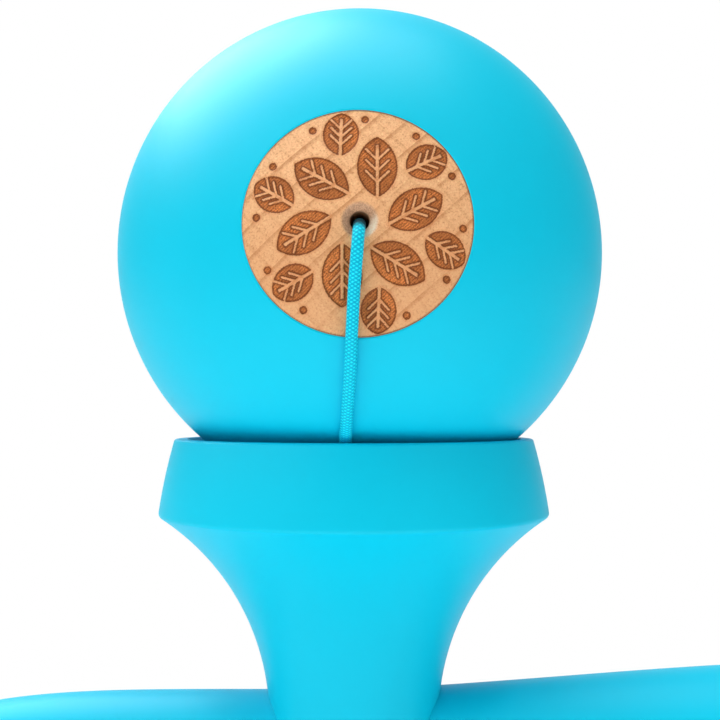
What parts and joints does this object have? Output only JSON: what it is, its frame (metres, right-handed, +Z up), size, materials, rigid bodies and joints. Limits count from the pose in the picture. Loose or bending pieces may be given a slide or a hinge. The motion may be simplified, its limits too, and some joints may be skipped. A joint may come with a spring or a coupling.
{
  "type": "kendama",
  "caption": "Skill toy of turned painted wood: a bored ball on a string rests in the larger cup of a cross piece, which is pushed onto a spiked handle with a base cup.",
  "frame": {"origin": "on the surface it stands on, under the middle of the box round the ken, sarado and tama", "axes": "+Z up along the sarado's axis to the big cup, +X along the ken from the spike to the base cup, +Y away from the ball's string hole"},
  "size_m": [0.178, 0.0595, 0.1276],
  "materials": {
    "sarado_paint": "satin cyan paint",
    "ken_paint": "satin cyan paint",
    "tama_paint": "satin cyan paint with a bare wood patch",
    "bead_wood": "bare wood",
    "string_nylon": "braided nylon"
  },
  "bodies": {
    "sarado": {"sarado": "sarado_paint", "string_back": "string_nylon", "string_coil": "string_nylon", "string_rise": "string_nylon"},
    "tether": {"tama_bead": "bead_wood", "tama_knot": "string_nylon", "string_front": "string_nylon"},
    "tama": {"tama": "tama_paint"},
    "ken": {"ken": "ken_paint", "ken_knot": "string_nylon", "string_ken_end": "string_nylon"}
  },
  "joints": [
    {"name": "tama_lift", "type": "slide", "parent": "sarado", "child": "tether", "axis": [0, 0, 1], "range_m": [0, 0.28]},
    {"name": "tama_spin", "type": "hinge", "parent": "tether", "child": "tama", "pos_m": [-0.03027, 0.00101, 0.09761], "axis": [0, -1, 0], "continuous": true},
    {"name": "ken_draw", "type": "slide", "parent": "sarado", "child": "ken", "axis": [1, 0, 0], "range_m": [0, 0.075]}
  ]
}
